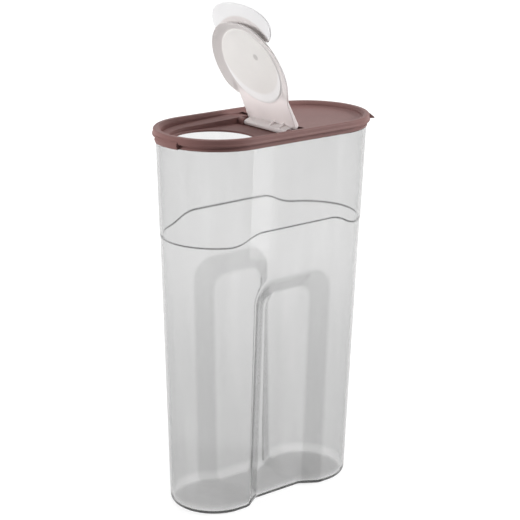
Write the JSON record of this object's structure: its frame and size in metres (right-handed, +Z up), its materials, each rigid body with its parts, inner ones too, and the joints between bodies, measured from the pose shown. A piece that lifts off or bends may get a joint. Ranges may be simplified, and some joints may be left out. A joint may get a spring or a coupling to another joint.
{
  "type": "storage canister",
  "caption": "Tall clear dry-food canister with a wavy step line, a grip recess in each long side, a brown lift-off lid and a white flip-up pour flap.",
  "frame": {"origin": "on the table under the middle of the base, midway between the two rounded ends", "axes": "+Z up, +X along the length of the canister away from the pour end, +Y across it"},
  "size_m": [0.185, 0.09, 0.3734],
  "materials": {
    "clear_body": "clear gloss",
    "brown_lid": "satin",
    "white_flap": "translucent satin"
  },
  "bodies": {
    "container": {"container": "clear_body"},
    "lid": {"lid": "brown_lid"},
    "flap": {"flap": "white_flap"}
  },
  "joints": [
    {"name": "lid_lift", "type": "slide", "parent": "container", "child": "lid", "axis": [0, 0, 1], "range_m": [0, 0.06]},
    {"name": "flap_hinge", "type": "hinge", "parent": "lid", "child": "flap", "pos_m": [0.0029, 0, 0.2806], "axis": [0, 1, 0], "range_deg": [-66, 8]}
  ]
}
